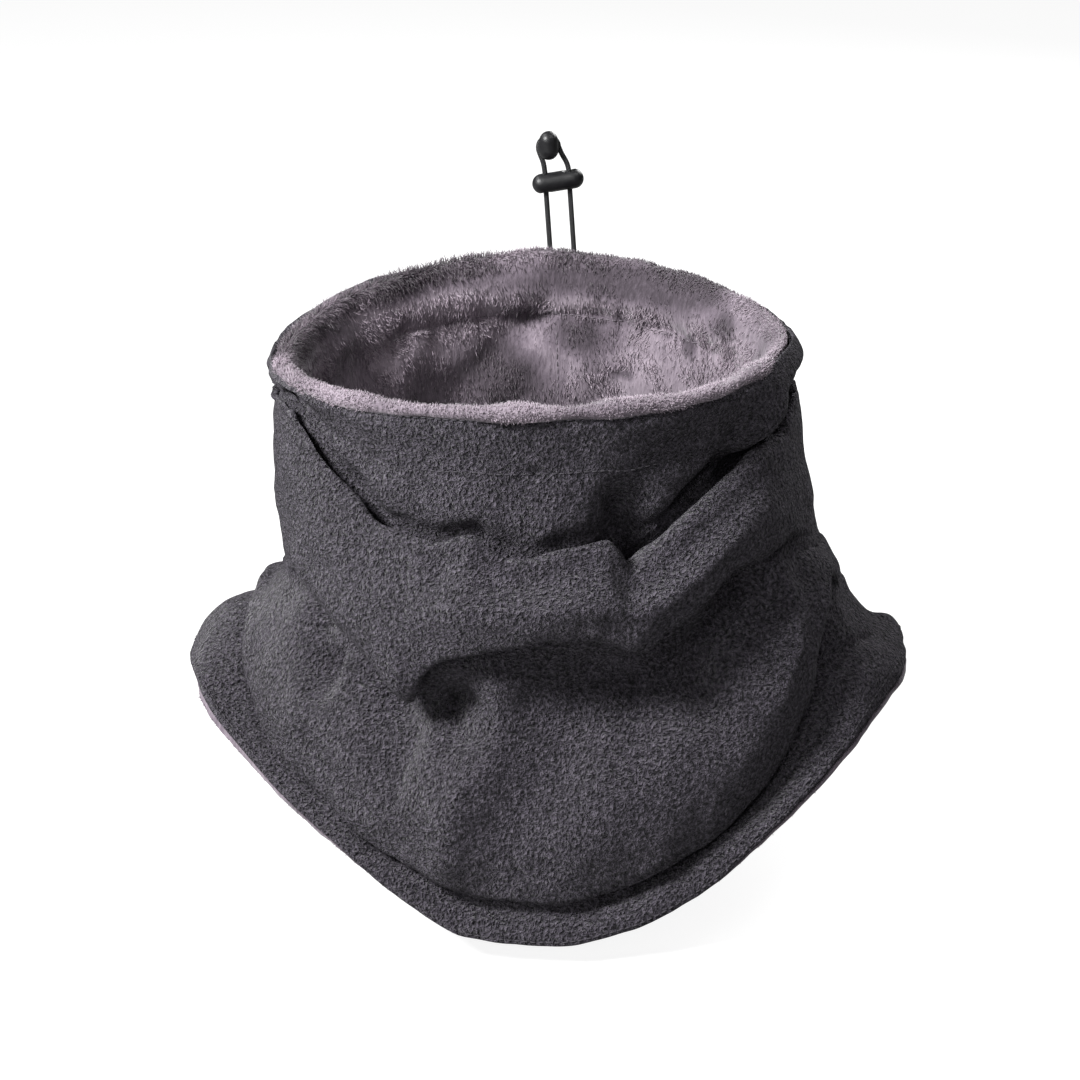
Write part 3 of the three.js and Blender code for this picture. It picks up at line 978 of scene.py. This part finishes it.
def fibres(name, roots, lean, length, material):
    """Tapered three-sided fibres, each bent once on its way to its tip."""
    side = unit(np.cross(lean, rng.normal(size=lean.shape)))
    other = np.cross(lean, side)
    length = length[:, None]
    bend = unit(rng.normal(size=lean.shape)) * PILE_BEND
    middle = roots + (lean * 0.55 + bend * 0.25) * length
    tip = roots + unit(lean + bend * 1.4) * length
    corners = []
    for centre, radius in ((roots, PILE_WIDTH * 0.5), (middle, PILE_WIDTH * 0.42)):
        for k in range(3):
            angle = TAU * k / 3
            corners.append(centre + (side * math.cos(angle) + other * math.sin(angle)) * radius)
    vertices = np.stack(corners + [tip], axis=1).reshape(-1, 3)
    faces = FIBRE_FACES[None] + 7 * np.arange(len(roots))[:, None, None]
    obj = mesh_object(name, vertices, faces.reshape(-1, 3), material)
    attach(obj, "gaiter")
    return obj


# The pile's tones: a word for the name, the tone that it goes up to, and the material
PILE_TONES = [
    ("dark", 0.38, pile_material("pile_dark", (0.075, 0.057, 0.073))),
    ("mid", 0.60, pile_material("pile_mid", (0.17, 0.136, 0.166))),
    ("light", math.inf, pile_material("pile_light", (0.33, 0.272, 0.321))),
]


def pile(name, density, length, stand):
    """The lining's pile where the density isn't zero, in three tones. It lies down the cloth, and
    stand is how far it stands off it."""
    roots, outward, down, rows, columns = scatter(lining_grid, lining_out, density)
    # Each fibre takes the lining's tone at its root, painted shade included.
    tone = lining_tone[rows, columns]
    swirl = np.array([noise.noise_vector(Vector(p) / 11) for p in roots.tolist()])
    lean = down * (0.5 + 0.9 * (tone < 0.6)[:, None]) + outward * stand + swirl * 0.6
    lean = unit(lean + rng.normal(size=roots.shape) * 0.13)
    lengths = np.broadcast_to(length, COLUMNS)[columns] * rng.uniform(0.65, 1.15, len(roots))
    mixed = tone + rng.normal(size=len(tone)) * 0.08
    floor = -math.inf
    made = []
    for word, ceiling, material in PILE_TONES:
        pick = (mixed >= floor) & (mixed < ceiling)
        floor = ceiling
        sunk_roots = roots[pick] - outward[pick] * ROOT_DEPTH
        made.append(fibres(f"{name}_{word}", sunk_roots, lean[pick], lengths[pick], material))
    return made


def row_band(first, last):
    """1 for rows of the lining between two of its rings, fading out over a ring at each end."""
    row = np.arange(len(lining_grid)) / LINING_ROWS_PER_SPAN
    return np.clip(row - first + 1, 0, 1) * np.clip(last + 1 - row, 0, 1)


def turn_band(centre, half):
    """1 for columns within half of a centre, in degrees, fading out over 20 degrees."""
    turn = np.abs((COLUMN_DEGREES - centre + 180) % 360 - 180)
    return np.clip((half + 20 - turn) / 20, 0, 1)


# Fibres to the square millimetre
LIP_FIBRES = 2.8
WALL_FIBRES = 1.5
HEM_FIBRES = 2.0

# Length of the pile over the rim
RIM_PILE = [
    (0, 2), (60, 1.8), (120, 1.8), (160, 2.4), (185, 4), (215, 4.6), (250, 4.2), (270, 3),
    (300, 2.4),
]

back_and_sides = np.maximum(turn_band(270, 110), 0.25)
seam_gap = 1 - np.exp(-((COLUMN_DEGREES - LINING_SEAM_DEGREES) / 0.9) ** 2)
at_sides = np.clip(np.abs(np.cos(np.radians(COLUMN_DEGREES))) * 2 - 0.6, 0, 1)
lip_density = row_band(0.5, 3)[:, None] * np.full(COLUMNS, LIP_FIBRES)
wall_density = row_band(5, 11)[:, None] * (back_and_sides * seam_gap)[None] * WALL_FIBRES
hem_density = row_band(18, 19)[:, None] * at_sides[None] * HEM_FIBRES
pile_pieces = pile("rim_pile", lip_density, length=around(RIM_PILE), stand=0.55)
pile_pieces += pile("wall_pile", wall_density, length=3.2, stand=0.16)
pile_pieces += pile("hem_pile", hem_density, length=1.1, stand=0.6)

# ------------------------ stitches

STITCH_SIDES = 6
STITCH_RINGS = 6
STITCH_PITCH = 2.8
STITCH_RADIUS = 0.24
SHELL_SEAM_DEGREES = 285


def stitch_row(name, line, outward, material):
    """Stitches along a line over the cloth: each comes up out of it, lies along it and dives in."""
    if np.linalg.norm(line[0] - line[-1]) < 2 * STITCH_PITCH:
        line = np.concatenate([line, line[:1]])
        outward = np.concatenate([outward, outward[:1]])
    steps = np.linalg.norm(np.diff(line, axis=0), axis=1)
    travel = np.concatenate([[0], np.cumsum(steps)])

    def at(distance, values):
        return np.stack([np.interp(distance, travel, values[:, k]) for k in range(3)], axis=-1)

    count = int(travel[-1] / STITCH_PITCH)
    share = np.linspace(0, 1, STITCH_RINGS)
    distance = (np.arange(count)[:, None] + 0.1 + 0.8 * share[None]) * travel[-1] / count
    out = unit(at(distance, outward))
    lift = (np.sin(math.pi * share) ** 0.6 * 1.3 - 0.7) * STITCH_RADIUS
    centre = at(distance, line) + out * lift[None, :, None]
    along = unit(np.gradient(centre, axis=1))
    side = unit(np.cross(along, out))
    up = np.cross(side, along)
    thick = STITCH_RADIUS * np.sqrt(np.clip(1 - (2 * share - 1) ** 6, 0.08, 1))
    angle = TAU * np.arange(STITCH_SIDES) / STITCH_SIDES
    circle = side[:, :, None] * np.cos(angle)[:, None] + up[:, :, None] * np.sin(angle)[:, None]
    vertices = centre[:, :, None] + circle * thick[None, :, None, None]
    here = np.arange(STITCH_RINGS * STITCH_SIDES).reshape(STITCH_RINGS, STITCH_SIDES)
    right = np.roll(here, -1, axis=1)
    tube = np.stack([here[:-1], here[1:], right[1:], right[:-1]], axis=-1).reshape(-1, 4)
    caps = [[0, 1, 2, 3], [0, 3, 4, 5]]
    last = (STITCH_RINGS - 1) * STITCH_SIDES
    caps += [[last + k for k in quad[::-1]] for quad in caps]
    faces = np.concatenate([tube, caps])
    size = STITCH_RINGS * STITCH_SIDES
    faces = faces[None] + size * np.arange(count)[:, None, None]
    obj = mesh_object(name, vertices.reshape(-1, 3), faces.reshape(-1, 4), material)
    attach(obj, "gaiter")
    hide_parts(name.replace("_stitches", "_thread"))
    return obj


def row_near(grid, rows, heights):
    """For each column, the row within a range whose height is nearest the one given."""
    return np.argmin(np.abs(grid[rows][..., 2] - heights), axis=0) + rows.start


def make_stitches():
    """Every seam and stitch line, each from the points it runs through and the way out of them."""
    shell_out = grid_normals(shell_grid)
    every = np.arange(COLUMNS)
    height = np.maximum(rim_edge - CASING_DROP, around(COLLAR_FOLD) + 6)
    casing = row_near(shell_grid, SHELL_BANDS["collar"], height)
    groove = GROOVE_RING * LINING_ROWS_PER_SPAN
    rim = shell_grid[2] * 0.5 + lining_grid[1] * 0.5
    below_collar = slice(SHELL_BANDS["collar"].stop, None)
    shell_seam = (below_collar, int(SHELL_SEAM_DEGREES / 360 * COLUMNS))
    below_groove = slice(groove + 4, 15 * LINING_ROWS_PER_SPAN)
    lining_seam = (below_groove, int(LINING_SEAM_DEGREES / 360 * COLUMNS))
    lines = [
        ("casing_stitches_outer", shell_grid[casing, every], shell_out[casing, every], THREAD),
        ("casing_stitches_inner", lining_grid[groove], lining_out[groove], LINING_THREAD),
        ("rim_seam_stitches", rim, radial(rim[None])[0], THREAD),
        ("hem_seam_stitches", shell_grid[-3], shell_out[-3], THREAD),
        ("shell_seam_stitches", shell_grid[shell_seam], shell_out[shell_seam], THREAD),
        ("lining_seam_stitches", lining_grid[lining_seam], lining_out[lining_seam], LINING_THREAD),
    ]
    return [stitch_row(*line) for line in lines]


# ------------------------ hardware

EYELET_RING = (92.5, 79.8)
EYELET_SIDES = 48
EYELET_PROFILE = [
    (1.7, -3.5), (1.7, -0.4), (1.75, 0.3), (2.1, 0.75), (2.7, 0.95), (3.3, 0.85), (3.8, 0.5),
    (4.0, 0.15), (3.9, 0.0), (2.2, 0.0), (2.1, -3.5),
]


def eyelet_frame(name):
    """Where an eyelet sits: its Z axis points out of the cloth."""
    low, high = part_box(name)
    x, z = (low[0] + high[0]) / 2 / MM, (low[2] + high[2]) / 2 / MM
    side, back = EYELET_RING
    away = (x - RIM_X) / side
    y = back * math.sqrt(1 - away**2)
    out = Vector(((x - RIM_X) / side**2, y / back**2, 0)).normalized()
    up = Vector((0, 0, 1))
    turn = Matrix((up.cross(out), up, out)).transposed().to_4x4()
    return Matrix.Translation((x, y, z)) @ turn


def turned(profile, sides):
    """Rings of points: a profile of (radius, height) turned round Z."""
    angle = TAU * np.arange(sides) / sides
    cosine, sine, level = np.cos(angle), np.sin(angle), np.ones(sides)
    return np.array([np.stack([r * cosine, r * sine, h * level], axis=1) for r, h in profile])


def moved(vertices, matrix):
    matrix = np.array(matrix)
    return vertices @ matrix[:3, :3].T + matrix[:3, 3]


def make_eyelets():
    rings = turned(EYELET_PROFILE, EYELET_SIDES)
    faces = grid_faces(len(rings), EYELET_SIDES)[:, ::-1]
    for name in ("eyelet_left", "eyelet_right"):
        placed = moved(rings.reshape(-1, 3), eyelet_frame(name))
        obj = mesh_object(f"{name}_rolled", placed, faces, ENAMEL)
        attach(obj, "gaiter")
        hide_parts(name)


LOCK_LENGTH = 20
LOCK_RADIUS = 3.9
LOCK_TILT = math.radians(9.5)
LOCK_CENTRE = Vector((6.9, 87, 46.1))
LOCK_WAIST = 0.035
PARTING_LINE = 0.3
PARTING_GROOVE = 0.988
LOCK_HOLE_RADIUS = 1.45
LOCK_HOLE_SHIFT = -0.25
HOLE_FLARE = 1.6
HOLE_FLARE_DEPTH = 1.1
STRAND_LEAN = 0.07
STRAND_SPACING = 9.2
POLE_RADIUS = 0.02


def capsule_profile(length, radius, arc_steps, straight_steps):
    """Half a capsule's outline as (radius, height), from its lower pole to its upper one."""
    straight = length / 2 - radius
    turn = np.linspace(-math.pi / 2, 0, arc_steps)
    low = [(radius * math.cos(a), radius * math.sin(a) - straight) for a in turn]
    middle = [(radius, h) for h in np.linspace(-straight, straight, straight_steps)[1:-1]]
    return low + middle + [(r, -h) for r, h in reversed(low)]


def turned_solid(profile, sides):
    """A closed surface turned round Z, its poles as tiny rings closed with quads."""
    rings = turned([(max(radius, POLE_RADIUS), height) for radius, height in profile], sides)
    caps = []
    for first, turn in ((0, 1), ((len(rings) - 1) * sides, -1)):
        for k in range(1, sides - 2, 2):
            caps.append([first, first + k, first + k + 1, first + k + 2][::turn])
    faces = grid_faces(len(rings), sides, closed_section=False)
    return rings, np.concatenate([faces, np.array(caps)])


def apply_modifiers(obj):
    """Bakes an object's modifiers into its mesh."""
    graph = bpy.context.evaluated_depsgraph_get()
    mesh = bpy.data.meshes.new_from_object(obj.evaluated_get(graph))
    obj.modifiers.clear()
    obj.data = mesh


def hole_cutter(hole, along):
    """The shape that one strand's hole is cut with: a drill, flared at both ends."""
    over, start = LOCK_RADIUS + 1, LOCK_RADIUS - HOLE_FLARE_DEPTH
    flared = LOCK_HOLE_RADIUS + HOLE_FLARE
    half = [(0, -over), (flared, -over), (LOCK_HOLE_RADIUS, -start)]
    vertices, faces = turned_solid(half + [(r, -h) for r, h in reversed(half)], 32)
    placed = moved(vertices.reshape(-1, 3), Matrix.Translation(hole) @ along)
    return mesh_object("drill", placed, faces, MOULDED)


def make_lock():
    """A rounded bar, a little waisted, with a parting line and a flared hole for each strand."""
    vertices, faces = turned_solid(capsule_profile(LOCK_LENGTH, LOCK_RADIUS, 12, 14), 48)
    along_bar = np.clip(vertices[..., 2] / (LOCK_LENGTH / 2), -1, 1)
    vertices[..., 0] *= 1 - LOCK_WAIST * np.cos(along_bar * math.pi / 2)
    vertices[..., 0][np.abs(vertices[..., 1]) < PARTING_LINE] *= PARTING_GROOVE
    lay = Matrix.Rotation(math.pi / 2, 4, "Y")
    place = Matrix.Translation(LOCK_CENTRE) @ Matrix.Rotation(-LOCK_TILT, 4, "Y") @ lay
    placed = moved(vertices.reshape(-1, 3), place)
    obj = mesh_object("cord_lock_body", placed, faces, MOULDED)
    strand = Vector((-STRAND_LEAN, 0, 1)).normalized()
    along = Vector((0, 0, 1)).rotation_difference(strand).to_matrix().to_4x4()
    for sign in (-1, 1):
        shift = Vector((sign * STRAND_SPACING / 2 + LOCK_HOLE_SHIFT, 0, 0))
        drill = hole_cutter(LOCK_CENTRE + shift, along)
        cut = obj.modifiers.new("cut", "BOOLEAN")
        cut.operation = "DIFFERENCE"
        cut.solver = "EXACT"
        cut.object = drill
        apply_modifiers(obj)
        bpy.data.objects.remove(drill)
    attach(obj, "cord_lock")
    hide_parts("cord_lock")
    return obj


BEAD_CENTRE = Vector((3.3, 86, 60.2))
BEAD_RADIUS = 3.8
BEAD_LENGTH = 11.1
BEAD_TAPER = 0.1
TAPER_START = 0.15
GROOVE_CLEARANCE = 0.15
GROOVE_PUSH = 1.2


def make_bead(loop):
    """An egg-shaped bead, grooved where the cord lies round its back."""
    vertices, faces = turned_solid(capsule_profile(BEAD_LENGTH, BEAD_RADIUS, 24, 26), 72)
    swell = 1 - BEAD_TAPER * np.clip(vertices[..., 2] / BEAD_LENGTH + TAPER_START, 0, 1)
    vertices[..., :2] *= swell[..., None]
    placed = vertices.reshape(-1, 3) + np.array(BEAD_CENTRE)
    line = np.array(loop)
    sink = CORD_DIAMETER / 2 / MM + GROOVE_CLEARANCE
    for a, b in zip(line, line[1:]):
        along = b - a
        share = np.clip(((placed - a) @ along) / (along @ along), 0, 1)
        away = placed - (a + share[:, None] * along)
        inward = unit(np.array(BEAD_CENTRE) - placed)
        short = np.clip(sink - np.linalg.norm(away, axis=1), 0, None)
        placed = placed + inward * (short * GROOVE_PUSH)[:, None]
    obj = mesh_object("loop_bead_body", placed, faces, MOULDED)
    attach(obj, "gaiter")
    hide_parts("loop_bead")
    return obj


stitches = make_stitches()
make_eyelets()
lock = make_lock()
bead = make_bead(LOOP_ROUTE[9:20])
loop = cord_curve("drawcord_loop_braid", LOOP_ROUTE, CORD_DIAMETER)
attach(loop, "gaiter")
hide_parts("drawcord_loop")

for name, material in (
    ("drawcord_ring", CORD),
    ("eyelet_washer_left", ENAMEL),
    ("eyelet_washer_right", ENAMEL),
):
    bpy.data.objects[name].material_slots[0].material = material
